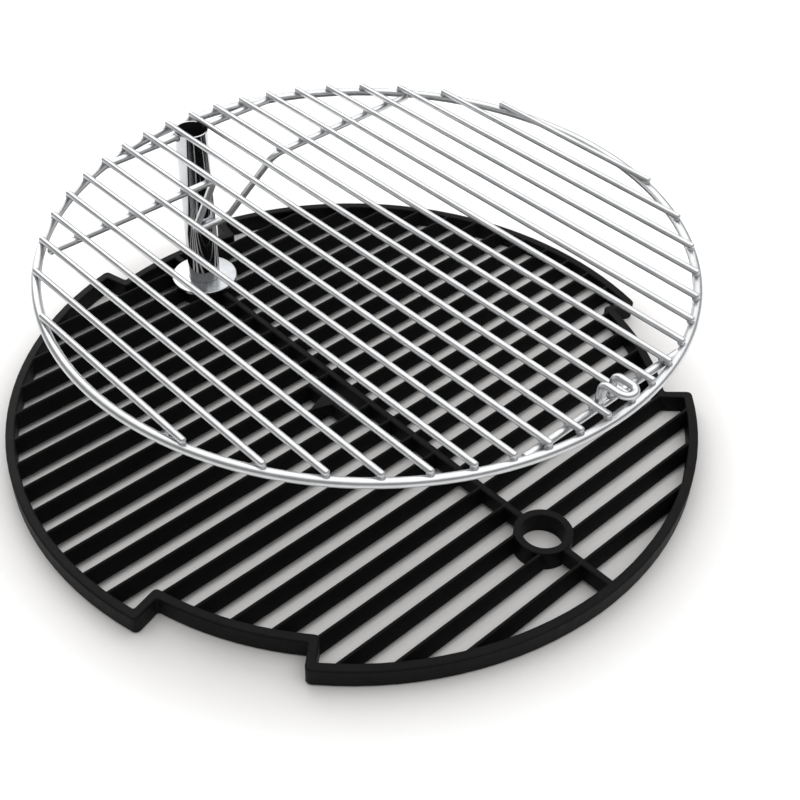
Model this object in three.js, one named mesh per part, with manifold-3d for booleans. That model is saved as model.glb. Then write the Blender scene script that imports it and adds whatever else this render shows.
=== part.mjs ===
// Round cast-iron cooking grate with a swing-away wire warming rack.
// The rack hangs on a chromed post that drops into a boss of the grate and turns there.
// Millimetres, +Z up. The grate stands on z = 0 and is centred on the Z axis in the finished part.
import * as THREE from 'three';
import { mergeVertices } from 'three/addons/utils/BufferGeometryUtils.js';
import Module from 'manifold-3d';

const wasm = await Module();
wasm.setup();

// Grate casting
const GRATE_R = 240;          // outside of the rim
const GRATE_H = 14;           // rim, underside to top
const RIM_W = 6.5;            // rim wall
const RIM_BEVEL = 1.1;        // rounding of the rim's edges
const NOTCH_R = 220.5;        // outside of the rim where it steps in
const NOTCH_AT = [61.2, 180, 298.8];
const NOTCH_HALF = 12.7;      // half the angle of one notch, degrees
const BAR_PITCH = 21.7;
const BAR_COUNT = 20;
const BAR_FIRST = -200.7;     // x of the first bar's ridge
const BAR_DEPTH = 10.3;
const BAR_RIDGE = 2.4;        // width at the top
const BAR_FOOT = 9.8;         // width at the bottom
const SPINE_W = 5.2;
const SPINE_DEPTH = 11;
const BOSS_X = [-177.3, 179];  // the post's boss and the free one
const BOSS_R = 19;
const BORE_R = 14;
const BOSS_PROUD = 0.4;       // machined boss tops stand above the casting
const LIFTER_BAR = 9;         // index of the short bar beside the lifter opening
const LIFTER_Y = -19.5;       // web that closes the lifter opening
const WEB_W = 5;

// Wire rack
const GAP = 0.3;
const ROD_R = 2.1;
const ROD_COUNT = 20;
const ROD_PITCH = 20.35;
const ROD_Z = 147;
const ROD_TIP_R = 205.8;        // circle the rod ends reach
const RING_R = 205.6;
const RING_WIRE = 3;
const RACK_X = 13;            // centre of the ring
const WIRE_R = 2.5;           // carrying wires under the rods
const WIRE_Z = ROD_Z - ROD_R - GAP - WIRE_R;
const RING_Z = ROD_Z - ROD_R - GAP - RING_WIRE;
const POST_X = BOSS_X[0];
const POST_R = 12;
const POST_BORE = 11;
const POST_TOP = ROD_Z - ROD_R - GAP;
const POST_FOOT = 1.5;
const WASHER_R = 25;
const WASHER_BORE = 12.5;
const WASHER_T = 2.6;
const REAR_X = POST_X - 1;    // cross wire welded to the post's sides
const REAR_HALF = 62;
const HANGER_X = -115.5;      // arms of the hanger
const HANGER_END = 152;
const HANGER_BEND_Y = 26;
const HANGER_LOW_Z = 71;      // where the hanger meets the post
const HANGER_LOW_HALF = 15;
const CROSSBAR_X = 206;
const CROSSBAR_HALF = 66;
const LOOP_R = 2.3;
const LOOP_HALF = 5.4;
const LOOP_TOP = 160;
const LOOP_REACH = 218;

const rad = THREE.MathUtils.degToRad;
const vec = (x, y, z) => new THREE.Vector3(x, y, z);
const castIron = [0x17171a, 0.78, 0.35];
const chrome = [0xd4d6d9, 0.16, 1.0];
const group = new THREE.Group();

function add(name, geometry, [color, roughness, metalness]) {
  const material = new THREE.MeshStandardMaterial({ color, roughness, metalness });
  const mesh = new THREE.Mesh(geometry, material);
  mesh.name = name;
  group.add(mesh);
}

// ---- solids for cutting and joining ----

function solid(geometry) {
  const g = geometry.clone();
  g.deleteAttribute('normal');
  g.deleteAttribute('uv');
  const m = mergeVertices(g, 1e-4);
  const mesh = { numProp: 3 };
  mesh.vertProperties = new Float32Array(m.attributes.position.array);
  mesh.triVerts = new Uint32Array(m.index.array);
  return new wasm.Manifold(new wasm.Mesh(mesh));
}

function geometryOf(manifold) {
  const mesh = manifold.getMesh();
  const g = new THREE.BufferGeometry();
  const xyz = new Float32Array((mesh.vertProperties.length / mesh.numProp) * 3);
  for (let i = 0; i < xyz.length / 3; i += 1) {
    for (let k = 0; k < 3; k += 1) xyz[3 * i + k] = mesh.vertProperties[i * mesh.numProp + k];
  }
  g.setAttribute('position', new THREE.BufferAttribute(xyz, 3));
  g.setIndex(new THREE.BufferAttribute(new Uint32Array(mesh.triVerts), 1));
  g.computeVertexNormals();
  return g;
}

// ---- shape helpers ----

const polar = (r, deg) => new THREE.Vector2(r * Math.cos(rad(deg)), r * Math.sin(rad(deg)));

// Closed outline of the grate: three main arcs of radius r, three notch arcs of radius rn.
// half is the notch's half angle and round the rounding of its corners.
function grateOutline(r, rn, half, round) {
  const points = [];
  const arc = (radius, from, to, steps) => {
    for (let i = 0; i <= steps; i += 1) points.push(polar(radius, from + ((to - from) * i) / steps));
  };
  const corner = (a, b, c) => {
    for (const t of [0.33, 0.67]) {
      const p = a.clone().multiplyScalar((1 - t) ** 2);
      p.addScaledVector(b, 2 * t * (1 - t)).addScaledVector(c, t * t);
      points.push(p);
    }
  };
  const turn = (radius) => THREE.MathUtils.radToDeg(round / radius);
  for (const [i, at] of NOTCH_AT.entries()) {
    const next = NOTCH_AT[(i + 1) % NOTCH_AT.length] + (i + 1 === NOTCH_AT.length ? 360 : 0);
    const from = at - half;
    const to = at + half;
    arc(rn, from + turn(rn), to - turn(rn), 9);
    corner(polar(rn, to - turn(rn)), polar(rn, to), polar(rn + round, to));
    points.push(polar(rn + round, to), polar(r - round, to));
    corner(polar(r - round, to), polar(r, to), polar(r, to + turn(r)));
    arc(r, to + turn(r), next - half - turn(r), 32);
    corner(polar(r, next - half - turn(r)), polar(r, next - half), polar(r - round, next - half));
    points.push(polar(r - round, next - half), polar(rn + round, next - half));
    corner(polar(rn + round, next - half), polar(rn, next - half), polar(rn, next - half + turn(rn)));
  }
  return points;
}

// Straight bar of the given section (points across and up), running from one y to another.
function barAlongY(section, x, y0, y1) {
  const g = new THREE.ExtrudeGeometry(new THREE.Shape(section), { depth: y1 - y0, bevelEnabled: false });
  g.rotateX(Math.PI / 2);
  return g.translate(x, y1, 0);
}

function barAlongX(section, y, x0, x1) {
  const g = new THREE.ExtrudeGeometry(new THREE.Shape(section), { depth: x1 - x0, bevelEnabled: false });
  g.rotateX(Math.PI / 2);
  g.rotateZ(Math.PI / 2);
  return g.translate(x0, y, 0);
}

// Rib section with a rounded top at z = GRATE_H.
function ribSection(top, foot, depth) {
  const t = top / 2;
  const f = foot / 2;
  const pairs = [[-f, -depth], [f, -depth], [t, -0.9], [t * 0.6, -0.2], [0, 0], [-t * 0.6, -0.2], [-t, -0.9]];
  return pairs.map(([u, v]) => new THREE.Vector2(u, GRATE_H + v));
}

function drum(r, z0, z1, x) {
  const g = new THREE.CylinderGeometry(r, r, z1 - z0, 48);
  g.rotateX(Math.PI / 2);
  return g.translate(x, 0, (z0 + z1) / 2);
}

// Curve through given points, met exactly at the steps of an extrusion.
class WirePath extends THREE.Curve {
  constructor(points) {
    super();
    this.points = points;
  }

  getPoint(t, target = new THREE.Vector3()) {
    const s = THREE.MathUtils.clamp(t, 0, 1) * (this.points.length - 1);
    const i = Math.min(Math.floor(s), this.points.length - 2);
    return target.lerpVectors(this.points[i], this.points[i + 1], s - i);
  }

  getUtoTmapping(u) {
    return u;
  }
}

// Corner points joined by straight runs, each inner corner rounded with the given radius.
function rounded(corners, radius, steps) {
  const points = [corners[0]];
  for (let i = 1; i < corners.length - 1; i += 1) {
    const a = corners[i - 1].clone().sub(corners[i]).normalize();
    const b = corners[i + 1].clone().sub(corners[i]).normalize();
    const bend = Math.PI - a.angleTo(b);
    const cut = radius * Math.tan(bend / 2);
    const centre = a.clone().add(b).normalize().multiplyScalar(radius / Math.cos(bend / 2)).add(corners[i]);
    const from = corners[i].clone().addScaledVector(a, cut).sub(centre);
    const axis = b.clone().cross(a).normalize();
    for (let k = 0; k <= steps; k += 1) {
      points.push(from.clone().applyAxisAngle(axis, (bend * k) / steps).add(centre));
    }
  }
  points.push(corners.at(-1));
  return points;
}

function wire(points, r, sides) {
  const ring = [];
  for (let i = 0; i < sides; i += 1) ring.push(polar(r, (360 * i) / sides));
  return new THREE.ExtrudeGeometry(new THREE.Shape(ring), {
    steps: points.length - 1, bevelEnabled: false, extrudePath: new WirePath(points),
  });
}

// ---- cast grate ----

const midR = GRATE_R - RIM_W / 2;
const midNotch = NOTCH_R - RIM_W / 2;
const wallTurn = THREE.MathUtils.radToDeg(RIM_W / GRATE_R);

const rimShape = new THREE.Shape(
  grateOutline(GRATE_R - RIM_BEVEL, NOTCH_R - RIM_BEVEL, NOTCH_HALF + wallTurn * 0.17, 3),
);
const rimInside = grateOutline(
  GRATE_R - RIM_W + RIM_BEVEL, NOTCH_R - RIM_W + RIM_BEVEL, NOTCH_HALF + wallTurn * 0.83, 2.5,
);
rimShape.holes.push(new THREE.Path(rimInside.reverse()));
const rim = new THREE.ExtrudeGeometry(rimShape, {
  depth: GRATE_H - 2 * RIM_BEVEL, bevelThickness: RIM_BEVEL, bevelSize: RIM_BEVEL, bevelSegments: 2,
});
rim.translate(0, 0, RIM_BEVEL);

const plugShape = new THREE.Shape(grateOutline(midR, midNotch, NOTCH_HALF + wallTurn / 2, 2.5));
const plug = new THREE.ExtrudeGeometry(plugShape, { depth: GRATE_H + 2, bevelEnabled: false });
plug.translate(0, 0, -1);

const barSection = ribSection(BAR_RIDGE, BAR_FOOT, BAR_DEPTH);
const webSection = ribSection(WEB_W, WEB_W + 1, SPINE_DEPTH);
let ribs = solid(barAlongX(ribSection(SPINE_W, SPINE_W + 1, SPINE_DEPTH), 0, -GRATE_R, GRATE_R));
for (let i = 0; i < BAR_COUNT; i += 1) {
  const x = BAR_FIRST + BAR_PITCH * i;
  if (i === LIFTER_BAR) {
    ribs = ribs.add(solid(barAlongY(barSection, x, 0, GRATE_R)));
    ribs = ribs.add(solid(barAlongY(barSection, x, -GRATE_R, LIFTER_Y)));
    ribs = ribs.add(solid(barAlongX(webSection, LIFTER_Y, x - BAR_PITCH, x + BAR_PITCH)));
    // flat-topped shoulder where the short bar runs into the web
    const shoulder = [[-6.5, 0], [-1.2, -15], [1.2, -15], [6.5, 0]].map(([u, v]) => new THREE.Vector2(u, v));
    const g = new THREE.ExtrudeGeometry(new THREE.Shape(shoulder), { depth: BAR_DEPTH, bevelEnabled: false });
    g.translate(x, LIFTER_Y, GRATE_H - BAR_DEPTH - 0.1);
    ribs = ribs.add(solid(g));
  } else {
    ribs = ribs.add(solid(barAlongY(barSection, x, -GRATE_R, GRATE_R)));
  }
}
let grate = ribs.intersect(solid(plug)).add(solid(rim));
for (const x of BOSS_X) grate = grate.add(solid(drum(BOSS_R, 0, GRATE_H + BOSS_PROUD, x)));
for (const x of BOSS_X) grate = grate.subtract(solid(drum(BORE_R, -1, GRATE_H + 2, x)));
add('cast_grate', geometryOf(grate), castIron);

// ---- rack: rim wire and rods ----

const ringGeometry = new THREE.TorusGeometry(RING_R, RING_WIRE, 10, 96);
ringGeometry.translate(RACK_X, 0, RING_Z);
add('rack_ring', ringGeometry, chrome);

for (let i = 0; i < ROD_COUNT; i += 1) {
  const y = (i - (ROD_COUNT - 1) / 2) * ROD_PITCH;
  const half = Math.sqrt(ROD_TIP_R ** 2 - y ** 2);
  const rod = new THREE.CapsuleGeometry(ROD_R, 2 * (half - ROD_R), 2, 10);
  rod.rotateZ(Math.PI / 2);
  rod.translate(RACK_X, y, ROD_Z);
  add(`rod_${String(i + 1).padStart(2, '0')}`, rod, chrome);
}

// ---- rack: carrying wires ----

// room for the ring, cut from the wires that butt against its inside
const clearance = new THREE.TorusGeometry(RING_R, RING_WIRE + GAP, 12, 96);
clearance.translate(RACK_X, 0, RING_Z);
const ringRoom = solid(clearance);

for (const [side, s] of [['left', -1], ['right', 1]]) {
  const ends = [vec(REAR_X, s * (POST_R + GAP), WIRE_Z), vec(REAR_X, s * REAR_HALF, WIRE_Z)];
  add(`rear_bar_${side}`, geometryOf(solid(wire(ends, WIRE_R, 12)).subtract(ringRoom)), chrome);
}

const lowX = POST_X + POST_R + GAP + WIRE_R;
const hanger = [
  vec(HANGER_X, -HANGER_END, WIRE_Z), vec(HANGER_X, -HANGER_BEND_Y, WIRE_Z),
  vec(lowX, -HANGER_LOW_HALF, HANGER_LOW_Z), vec(lowX, HANGER_LOW_HALF, HANGER_LOW_Z),
  vec(HANGER_X, HANGER_BEND_Y, WIRE_Z), vec(HANGER_X, HANGER_END, WIRE_Z),
];
add('hanger_wire', wire(rounded(hanger, 9, 5), WIRE_R, 12), chrome);

const crossbarEnds = [vec(CROSSBAR_X, -CROSSBAR_HALF, WIRE_Z), vec(CROSSBAR_X, CROSSBAR_HALF, WIRE_Z)];
const crossbar = solid(wire(crossbarEnds, WIRE_R, 12)).subtract(ringRoom);
add('front_crossbar', geometryOf(crossbar), chrome);

const legFoot = WIRE_Z + WIRE_R + GAP;
const uTurn = [];
for (let i = 0; i <= 8; i += 1) {
  const p = polar(LOOP_HALF, -90 + (180 * i) / 8);
  uTurn.push(vec(LOOP_REACH + p.x, p.y, LOOP_TOP));
}
const legIn = [vec(CROSSBAR_X, -LOOP_HALF, legFoot), vec(CROSSBAR_X, -LOOP_HALF, LOOP_TOP), uTurn[0]];
const legOut = [uTurn[8], vec(CROSSBAR_X, LOOP_HALF, LOOP_TOP), vec(CROSSBAR_X, LOOP_HALF, legFoot)];
const loop = [...rounded(legIn, 5, 5), ...uTurn.slice(1, 8), ...rounded(legOut, 5, 5)];
add('finger_loop', wire(loop, LOOP_R, 12), chrome);

// ---- post and washer ----

const profile = (pairs) => [...pairs, pairs[0]].map(([r, z]) => new THREE.Vector2(r, z));

function turned(pairs, x) {
  const g = new THREE.LatheGeometry(profile(pairs), 48);
  g.rotateX(Math.PI / 2);
  return g.translate(x, 0, 0);
}

add('post_tube', turned([
  [POST_BORE, POST_FOOT], [POST_R, POST_FOOT], [POST_R, POST_TOP], [POST_BORE, POST_TOP],
], POST_X), chrome);

const washerLow = GRATE_H + BOSS_PROUD + GAP;
add('flange_washer', turned([
  [WASHER_BORE, washerLow], [WASHER_R - 0.5, washerLow], [WASHER_R, washerLow + 0.5],
  [WASHER_R, washerLow + WASHER_T - 0.7], [WASHER_R - 0.7, washerLow + WASHER_T],
  [WASHER_BORE, washerLow + WASHER_T],
], POST_X), chrome);

// centre the part on the Z axis
const box = new THREE.Box3().setFromObject(group);
for (const mesh of group.children) mesh.geometry.translate(-(box.min.x + box.max.x) / 2, 0, 0);

export default group;
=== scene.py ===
"""Round cast-iron cooking grate with a swing-away wire warming rack, on a pale studio floor."""
from math import cos, pi, radians, sin, sqrt, tan

import bpy
from mathutils import Matrix, Vector


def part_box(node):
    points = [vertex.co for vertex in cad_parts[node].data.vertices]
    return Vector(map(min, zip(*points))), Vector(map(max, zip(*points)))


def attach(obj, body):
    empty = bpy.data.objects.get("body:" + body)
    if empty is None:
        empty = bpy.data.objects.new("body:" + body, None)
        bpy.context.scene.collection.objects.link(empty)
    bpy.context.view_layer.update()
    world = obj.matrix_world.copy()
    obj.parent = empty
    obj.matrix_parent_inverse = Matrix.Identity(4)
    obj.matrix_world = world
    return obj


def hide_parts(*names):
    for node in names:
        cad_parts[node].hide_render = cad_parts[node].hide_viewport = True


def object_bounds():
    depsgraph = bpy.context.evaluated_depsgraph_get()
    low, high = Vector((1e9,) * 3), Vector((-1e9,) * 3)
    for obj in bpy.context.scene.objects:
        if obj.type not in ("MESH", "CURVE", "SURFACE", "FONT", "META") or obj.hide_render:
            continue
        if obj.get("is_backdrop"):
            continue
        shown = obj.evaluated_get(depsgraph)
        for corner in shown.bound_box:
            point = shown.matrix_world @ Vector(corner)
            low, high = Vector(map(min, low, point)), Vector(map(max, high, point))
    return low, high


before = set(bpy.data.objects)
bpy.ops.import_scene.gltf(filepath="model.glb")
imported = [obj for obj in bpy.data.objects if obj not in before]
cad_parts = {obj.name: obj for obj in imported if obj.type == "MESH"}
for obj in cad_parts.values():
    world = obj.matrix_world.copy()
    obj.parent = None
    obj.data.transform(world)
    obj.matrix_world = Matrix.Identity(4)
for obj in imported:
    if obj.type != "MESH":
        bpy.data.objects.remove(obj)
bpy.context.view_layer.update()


# ---------------------------------------------------------------- sizes, metres

MM = 0.001


def centre(node):
    low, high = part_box(node)
    return (low + high) / 2


def size(node):
    low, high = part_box(node)
    return high - low


POST = centre("post_tube")
POST_R = size("post_tube").x / 2
POST_LOW, POST_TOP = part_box("post_tube")[0].z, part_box("post_tube")[1].z
POST_WALL = 1.0 * MM
POST_LIP = 0.3 * MM           # rounding of the tube's ends
WASHER_EDGE = 0.9 * MM        # rounding of the washer's upper edge
GRATE_TOP = 14 * MM
RING = centre("rack_ring")
RING_WIRE = 3.0 * MM
RING_R = size("rack_ring").x / 2 - RING_WIRE
ROD_R = size("rod_10").y / 2
ROD_Z = centre("rod_10").z
WIRE_R = 2.5 * MM
WIRE_Z = centre("front_crossbar").z
CROSSBAR_X = centre("front_crossbar").x
REAR_X = centre("rear_bar_left").x
LOOP_R = 2.3 * MM
LOOP_BEND = 5 * MM
HANGER_LOW, HANGER_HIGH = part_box("hanger_wire")
HANGER_BEND = 9 * MM
HANGER_TOP_HALF = 26 * MM     # half the distance between the arms where they leave the rack
HANGER_LOW_HALF = 15 * MM     # and where they meet the post
SINK = 1 * MM                 # how far a wire's end runs into the ring it is welded to
FLOOR_HALF = 6.0
FLOOR_DROP = 0.4 * MM         # floor below the grate's underside
FLOOR_SHADE_FADE = 0.40             # radius at which the gradient of the floor's patch of painted shade ends


# ---------------------------------------------------------------- materials

class Nodes:
    """Small helper that builds a material's node tree."""

    def __init__(self, name):
        self.material = bpy.data.materials.new(name)
        self.material.use_nodes = True
        self.tree = self.material.node_tree
        self.shader = self.tree.nodes["Principled BSDF"]

    def add(self, kind, **values):
        node = self.tree.nodes.new(kind)
        for key, value in values.items():
            if key in node.inputs:
                node.inputs[key].default_value = value
            else:
                setattr(node, key, value)
        return node

    def link(self, out_socket, in_socket):
        self.tree.links.new(out_socket, in_socket)

    def place(self):
        return self.add("ShaderNodeTexCoord").outputs["Object"]

    def noise(self, scale, detail=4.0, roughness=0.55):
        node = self.add("ShaderNodeTexNoise", Scale=scale, Detail=detail, Roughness=roughness)
        self.link(self.place(), node.inputs["Vector"])
        return node.outputs["Fac"]

    def ramp(self, factor, stops):
        node = self.add("ShaderNodeValToRGB")
        elements = node.color_ramp.elements
        while len(elements) < len(stops):
            elements.new(0.5)
        for element, (position, color) in zip(elements, stops):
            element.position = position
            element.color = (*color, 1.0)
        self.link(factor, node.inputs["Fac"])
        return node.outputs["Color"]

    def between(self, factor, low, high):
        node = self.add("ShaderNodeMapRange", **{"To Min": low, "To Max": high})
        self.link(factor, node.inputs["Value"])
        return node.outputs["Result"]

    def bump(self, height, strength, distance):
        node = self.add("ShaderNodeBump", Strength=strength, Distance=distance)
        self.link(height, node.inputs["Height"])
        return node


def grey(v):
    return (v, v, v)


def chrome(name, dark, light, rough_low, rough_high):
    n = Nodes(name)
    n.shader.inputs["Metallic"].default_value = 1.0
    cloud = n.noise(60.0)
    n.link(n.ramp(cloud, [(0.35, dark), (0.65, light)]), n.shader.inputs["Base Color"])
    n.link(n.between(n.noise(220.0), rough_low, rough_high), n.shader.inputs["Roughness"])
    return n.material


def cast_iron():
    n = Nodes("cast_iron")
    patches = n.ramp(n.noise(35.0), [(0.3, (0.0010, 0.0010, 0.0011)), (0.7, (0.0030, 0.0030, 0.0032))])
    n.link(patches, n.shader.inputs["Base Color"])
    n.shader.inputs["Specular IOR Level"].default_value = 0.11
    n.link(n.between(n.noise(160.0), 0.45, 0.62), n.shader.inputs["Roughness"])
    edge = n.add("ShaderNodeBevel", samples=4, Radius=0.0012)
    coarse = n.bump(n.noise(420.0, 5.0, 0.6), 0.35, 0.0006)
    fine = n.bump(n.noise(1500.0, 3.0), 0.25, 0.0003)
    n.link(edge.outputs["Normal"], coarse.inputs["Normal"])
    n.link(coarse.outputs["Normal"], fine.inputs["Normal"])
    n.link(fine.outputs["Normal"], n.shader.inputs["Normal"])
    return n.material


def dark_steel():
    n = Nodes("dark_steel")
    n.shader.inputs["Metallic"].default_value = 0.6
    tone = n.ramp(n.noise(90.0), [(0.3, grey(0.012)), (0.7, grey(0.03))])
    n.link(tone, n.shader.inputs["Base Color"])
    n.link(n.between(n.noise(200.0), 0.55, 0.75), n.shader.inputs["Roughness"])
    return n.material


WIRE = chrome("bright_wire", (0.52, 0.53, 0.54), (0.60, 0.61, 0.62), 0.28, 0.38)
PLATE = chrome("bright_plate", (0.48, 0.49, 0.50), (0.57, 0.58, 0.60), 0.04, 0.08)
FLANGE = chrome("bright_flange", (0.38, 0.39, 0.40), (0.46, 0.47, 0.49), 0.14, 0.24)
WELD = chrome("weld", (0.36, 0.37, 0.39), (0.50, 0.51, 0.53), 0.30, 0.42)
IRON = cast_iron()
BORE = dark_steel()


# ---------------------------------------------------------------- meshes

DOME = 0.8                    # height of a wire's rounded end against its radius


def mesh_object(name, vertices, faces, material, smooth=True):
    data = bpy.data.meshes.new(name)
    data.from_pydata([tuple(v) for v in vertices], [], faces)
    data.materials.append(material)
    data.validate()
    data.update()
    for polygon in data.polygons:
        polygon.use_smooth = smooth
    thing = bpy.data.objects.new(name, data)
    bpy.context.collection.objects.link(thing)
    return thing


def stands_for(thing, node, body):
    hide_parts(node)
    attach(thing, body)
    return thing


def swept(points, radius, sides=20, closed=False, dome=True):
    """Vertices and faces of a round wire along points, with domed or flat ends."""
    count = len(points)
    tangents = []
    for i in range(count):
        if closed:
            a, b = points[i - 1], points[(i + 1) % count]
        else:
            a, b = points[max(i - 1, 0)], points[min(i + 1, count - 1)]
        tangents.append((b - a).normalized())
    side = tangents[0].orthogonal().normalized()
    if abs(tangents[0].z) < 0.9:
        side = tangents[0].cross(Vector((0, 0, 1))).normalized()
    rings = []
    for point, tangent in zip(points, tangents):
        side = (side - tangent * side.dot(tangent)).normalized()
        other = tangent.cross(side)
        rings.append((point, tangent, side, other, radius))
    if not closed and dome:
        first, last = rings[0], rings[-1]
        start, finish = [], []
        for turn in (pi / 8, pi / 4, 3 * pi / 8):
            out, narrow = DOME * radius * sin(turn), radius * cos(turn)
            finish.append((last[0] + last[1] * out, *last[1:4], narrow))
            start.append((first[0] - first[1] * out, *first[1:4], narrow))
        rings = start[::-1] + rings + finish
    vertices = []
    for point, _, side, other, r in rings:
        for k in range(sides):
            turn = 2 * pi * k / sides
            vertices.append(point + side * r * cos(turn) + other * r * sin(turn))
    faces = []
    total = len(rings)
    for i in range(total if closed else total - 1):
        j = (i + 1) % total
        for k in range(sides):
            m = (k + 1) % sides
            faces.append((i * sides + k, i * sides + m, j * sides + m, j * sides + k))
    if not closed:
        faces.append(tuple(range(sides))[::-1])
        faces.append(tuple((total - 1) * sides + k for k in range(sides)))
    return vertices, faces


def bent(corners, radius, steps=10):
    """Straight runs through corners, each inner corner rounded."""
    points = [corners[0]]
    for before, corner, after in zip(corners, corners[1:], corners[2:]):
        a, b = (before - corner).normalized(), (after - corner).normalized()
        bend = pi - a.angle(b)
        middle = corner + (a + b).normalized() * (radius / cos(bend / 2))
        start = corner + a * radius * tan(bend / 2) - middle
        axis = b.cross(a).normalized()
        for k in range(steps + 1):
            points.append(Matrix.Rotation(bend * k / steps, 3, axis) @ start + middle)
    points.append(corners[-1])
    return points


def turned(profile, middle, material, name, sides=96):
    """Ring-shaped solid turned about a vertical axis from a closed (radius, height) profile."""
    vertices, faces = [], []
    count = len(profile)
    for k in range(sides):
        turn = 2 * pi * k / sides
        for r, z in profile:
            vertices.append(Vector((middle.x + r * cos(turn), middle.y + r * sin(turn), z)))
    for k in range(sides):
        m = (k + 1) % sides
        for i in range(count):
            j = (i + 1) % count
            faces.append((k * count + i, m * count + i, m * count + j, k * count + j))
    return mesh_object(name, vertices, faces, material)


def soften(thing, angle=35):
    """Smooth shading that keeps real corners crisp."""
    data = thing.data
    data.update()
    limit = radians(angle)
    normals = [p.normal.copy() for p in data.polygons]
    meeting = {}
    for p in data.polygons:
        for key in p.edge_keys:
            meeting.setdefault(key, []).append(p.index)
    for edge in data.edges:
        pair = meeting.get(tuple(sorted(edge.vertices)), [])
        if len(pair) == 2 and normals[pair[0]].angle(normals[pair[1]], 0) > limit:
            edge.use_edge_sharp = True


# ---------------------------------------------------------------- rack

def wire_piece(node, points, radius, **options):
    thing = mesh_object(node + "_wire", *swept(points, radius, **options), WIRE)
    soften(thing, 50)
    return stands_for(thing, node, "rack")


angles = [radians(2 * k) for k in range(180)]
circle = [RING + RING_R * Vector((cos(a), sin(a), 0)) for a in angles]
wire_piece("rack_ring", circle, RING_WIRE, closed=True, sides=24)

rods = sorted(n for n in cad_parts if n.startswith("rod_"))
for node in rods:
    low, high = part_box(node)
    y = (low.y + high.y) / 2
    inset = DOME * ROD_R
    wire_piece(node, [Vector((low.x + inset, y, ROD_Z)), Vector((high.x - inset, y, ROD_Z))], ROD_R)


def ring_reach(x, clear):
    """Distance from the X axis at which a wire at x meets the inside of the ring."""
    return sqrt((RING_R - clear) ** 2 - (x - RING.x) ** 2)


for side, node in ((-1, "rear_bar_left"), (1, "rear_bar_right")):
    end = ring_reach(REAR_X, RING_WIRE - SINK)
    line = [Vector((REAR_X, side * (POST_R - 0.4 * MM), WIRE_Z)), Vector((REAR_X, side * end, WIRE_Z))]
    wire_piece(node, line, WIRE_R, dome=False)

end = ring_reach(CROSSBAR_X, RING_WIRE - SINK)
line = [Vector((CROSSBAR_X, -end, WIRE_Z)), Vector((CROSSBAR_X, end, WIRE_Z))]
wire_piece("front_crossbar", line, WIRE_R, dome=False)

hanger_x = HANGER_HIGH.x - WIRE_R
low_x = HANGER_LOW.x + WIRE_R
low_z = HANGER_LOW.z + WIRE_R
reach = HANGER_HIGH.y
corners = [
    Vector((hanger_x, -reach, WIRE_Z)), Vector((hanger_x, -HANGER_TOP_HALF, WIRE_Z)),
    Vector((low_x, -HANGER_LOW_HALF, low_z)), Vector((low_x, HANGER_LOW_HALF, low_z)),
    Vector((hanger_x, HANGER_TOP_HALF, WIRE_Z)), Vector((hanger_x, reach, WIRE_Z)),
]
wire_piece("hanger_wire", bent(corners, HANGER_BEND), WIRE_R)

loop_low, loop_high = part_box("finger_loop")
leg_x = loop_low.x + LOOP_R
half = loop_high.y - LOOP_R
top = loop_high.z - LOOP_R
far = loop_high.x - LOOP_R - half
turn = [Vector((far + half * sin(a), -half * cos(a), top)) for a in (pi * k / 14 for k in range(15))]
up = bent([Vector((leg_x, -half, loop_low.z)), Vector((leg_x, -half, top)), turn[0]], LOOP_BEND)
down = bent([turn[-1], Vector((leg_x, half, top)), Vector((leg_x, half, loop_low.z))], LOOP_BEND)
wire_piece("finger_loop", up + turn[1:-1] + down, LOOP_R)


# ---------------------------------------------------------------- welds

def bead(place, reach):
    """Small rounded drop of weld metal around a joint."""
    vertices, faces = [], []
    around, along = 12, 6
    for i in range(1, along):
        for k in range(around):
            a, b = pi * i / along, 2 * pi * k / around
            out = Vector((sin(a) * cos(b), sin(a) * sin(b), cos(a)))
            vertices.append(place + Vector((reach.x * out.x, reach.y * out.y, reach.z * out.z)))
    vertices += [place + Vector((0, 0, reach.z)), place - Vector((0, 0, reach.z))]
    top_index, low_index = len(vertices) - 2, len(vertices) - 1
    for k in range(around):
        m = (k + 1) % around
        faces.append((top_index, k, m))
        faces.append((low_index, (along - 2) * around + m, (along - 2) * around + k))
        for i in range(along - 2):
            faces.append((i * around + k, (i + 1) * around + k, (i + 1) * around + m, i * around + m))
    return vertices, faces


joints = []
contact = ROD_Z - ROD_R
spot = Vector((2.6, 2.3, 1.4)) * MM
for node in rods:
    low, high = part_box(node)
    y = (low.y + high.y) / 2
    across = sqrt(RING_R ** 2 - y ** 2)
    joints += [(Vector((RING.x + s * (across - 1.8 * MM), y, contact)), spot) for s in (-1, 1)]
    if HANGER_TOP_HALF < abs(y) < HANGER_HIGH.y:
        joints.append((Vector((hanger_x, y, contact)), spot))
    if abs(y) < ring_reach(CROSSBAR_X, RING_WIRE):
        joints.append((Vector((CROSSBAR_X, y, contact)), spot))
    if POST_R < abs(y) < ring_reach(REAR_X, RING_WIRE):
        joints.append((Vector((REAR_X, y, contact)), spot))
collar = Vector((3.6, 1.8, 3.4)) * MM
for s in (-1, 1):
    joints.append((Vector((REAR_X, s * (POST_R + 0.3 * MM), WIRE_Z)), collar))
    joints.append((Vector((leg_x, s * half, loop_low.z)), Vector((3.0, 3.0, 1.6)) * MM))
joints.append((Vector((POST.x + POST_R + 0.4 * MM, 0, low_z)), Vector((1.8, 5.0, 3.0)) * MM))
weld_vertices, weld_faces = [], []
for place, reach_of in joints:
    vertices, faces = bead(place, reach_of)
    weld_faces += [tuple(i + len(weld_vertices) for i in face) for face in faces]
    weld_vertices += vertices
welds = mesh_object("weld_beads", weld_vertices, weld_faces, WELD)
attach(welds, "rack")


# ---------------------------------------------------------------- post and washer

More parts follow.
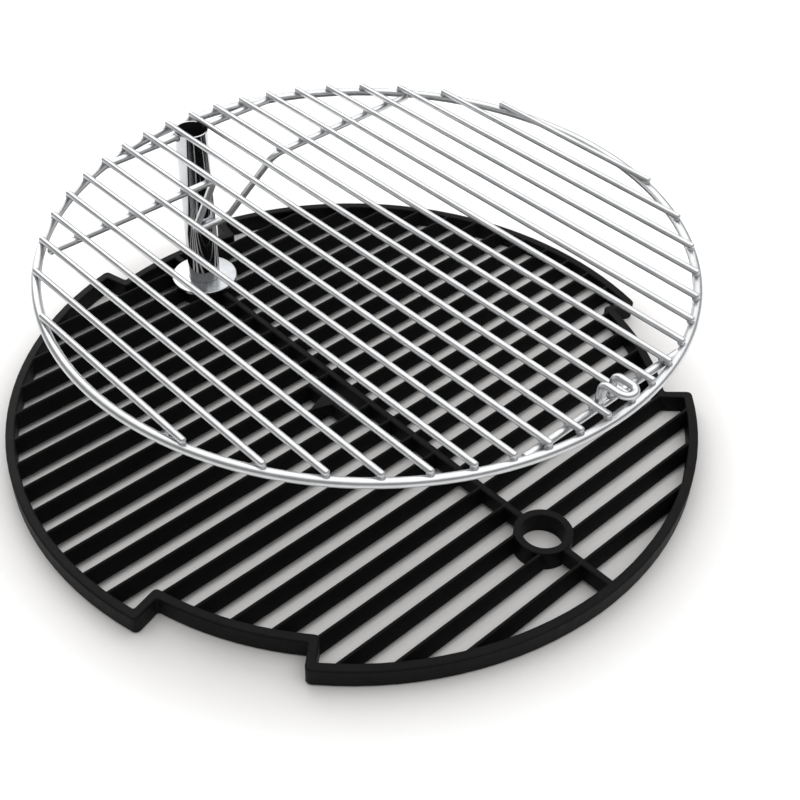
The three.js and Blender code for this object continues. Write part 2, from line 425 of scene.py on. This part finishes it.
bore = POST_R - POST_WALL
post = turned([
    (bore, POST_LOW + POST_LIP), (bore + POST_LIP, POST_LOW),
    (POST_R - POST_LIP, POST_LOW), (POST_R, POST_LOW + POST_LIP),
    (POST_R, POST_TOP - POST_LIP), (POST_R - POST_LIP, POST_TOP),
    (bore + POST_LIP, POST_TOP), (bore, POST_TOP - POST_LIP),
], POST, PLATE, "post_tube_plated")
post.data.materials.append(BORE)
for polygon in post.data.polygons:
    reach_out = (Vector((polygon.center.x - POST.x, polygon.center.y - POST.y))).length
    if reach_out < bore + 0.1 * MM:
        polygon.material_index = 1
soften(post)
stands_for(post, "post_tube", "rack")

washer_low, washer_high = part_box("flange_washer")
washer_r = (washer_high.x - washer_low.x) / 2
washer_bore = POST_R + 0.2 * MM
z0, z1 = washer_low.z, washer_high.z
edge = []
for k in range(5, -1, -1):
    a = pi / 2 * k / 5
    edge.append((washer_r - WASHER_EDGE * (1 - sin(a)), z1 - WASHER_EDGE * (1 - cos(a))))
washer = turned([
    (washer_bore, z0), (washer_r - 0.4 * MM, z0), (washer_r, z0 + 0.4 * MM), *edge, (washer_bore, z1),
], POST, FLANGE, "flange_washer_plated")
soften(washer)
stands_for(washer, "flange_washer", "washer")


# ---------------------------------------------------------------- grate

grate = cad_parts["cast_grate"]
grate.data.materials.clear()
grate.data.materials.append(IRON)


# ---------------------------------------------------------------- floor, light, camera

def floor_material():
    """Pale floor with a darker round patch of painted shade under the grate."""
    n = Nodes("floor")
    n.shader.inputs["Roughness"].default_value = 0.9
    painted_shade_spread = n.add("ShaderNodeTexGradient", gradient_type="SPHERICAL")
    scale = n.add("ShaderNodeVectorMath", operation="SCALE", Scale=1 / FLOOR_SHADE_FADE)
    n.link(n.place(), scale.inputs[0])
    n.link(scale.outputs["Vector"], painted_shade_spread.inputs["Vector"])
    # painted shade: the floor colour turns darker under the grate and fades out around it
    tone = n.ramp(painted_shade_spread.outputs["Color"], [(0.28, grey(0.98)), (0.42, (0.63, 0.622, 0.615))])
    mottle = n.ramp(n.noise(3.0), [(0.3, grey(0.985)), (0.7, grey(1.0))])
    mix = n.add("ShaderNodeMix", data_type="RGBA", blend_type="MULTIPLY")
    mix.inputs["Factor"].default_value = 1.0
    n.link(tone, mix.inputs["A"])
    n.link(mottle, mix.inputs["B"])
    n.link(mix.outputs["Result"], n.shader.inputs["Base Color"])
    return n.material


corners = [(x * FLOOR_HALF, y * FLOOR_HALF, -FLOOR_DROP) for x, y in ((-1, -1), (1, -1), (1, 1), (-1, 1))]
floor = mesh_object("floor", corners, [(0, 1, 2, 3)], floor_material(), smooth=False)
floor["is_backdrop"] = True

world = bpy.data.worlds.new("studio")
world.use_nodes = True
sky = world.node_tree
direction = sky.nodes.new("ShaderNodeTexCoord")
split = sky.nodes.new("ShaderNodeSeparateXYZ")
tones = sky.nodes.new("ShaderNodeValToRGB")
tones.color_ramp.elements[0].position = 0.0
tones.color_ramp.elements[0].color = (0.36, 0.36, 0.36, 1.0)
tones.color_ramp.elements[1].position = 0.75
tones.color_ramp.elements[1].color = (0.74, 0.73, 0.72, 1.0)
sky.links.new(direction.outputs["Generated"], split.inputs["Vector"])
sky.links.new(split.outputs["Z"], tones.inputs["Fac"])
sky.links.new(tones.outputs["Color"], sky.nodes["Background"].inputs["Color"])
sky.nodes["Background"].inputs["Strength"].default_value = 0.6
bpy.context.scene.world = world


def softbox(name, place, aim, wide, tall, power):
    data = bpy.data.lights.new(name, "AREA")
    data.shape = "RECTANGLE"
    data.size, data.size_y = wide, tall
    data.energy = power
    lamp = bpy.data.objects.new(name, data)
    lamp.location = place
    lamp.rotation_euler = (Vector(aim) - Vector(place)).to_track_quat("-Z", "Y").to_euler()
    bpy.context.collection.objects.link(lamp)


softbox("top", (-0.1, 0.35, 1.5), (0, 0, 0), 3.4, 3.2, 50)
softbox("left", (-1.5, 0.2, 0.7), (0, 0, 0.05), 1.0, 1.2, 7)

camera_data = bpy.data.cameras.new("camera")
camera_data.sensor_width = 36.0
camera_data.lens = 56.29
camera_data.clip_start = 0.01
camera = bpy.data.objects.new("camera", camera_data)
# the point the camera is aimed at: 206 mm from the post along the spine and 17 mm towards +Y
TARGET = Vector((POST.x + 0.20567, 0.01673, GRATE_TOP))
AZIMUTH, ELEVATION, DISTANCE, ROLL = 0.795, 0.7329, 0.87798, 0.0368
back = Vector((sin(AZIMUTH) * cos(ELEVATION), -cos(AZIMUTH) * cos(ELEVATION), sin(ELEVATION)))
right = (-back).cross(Vector((0, 0, 1))).normalized()
upward = back.cross(right)
across = right * cos(ROLL) + upward * sin(ROLL)
above = upward * cos(ROLL) - right * sin(ROLL)
turned_to = Matrix((across, above, back)).transposed().to_4x4()
camera.matrix_world = Matrix.Translation(TARGET + back * DISTANCE) @ turned_to
bpy.context.collection.objects.link(camera)
bpy.context.scene.camera = camera
bpy.context.scene.view_settings.view_transform = "Standard"

low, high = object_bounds()
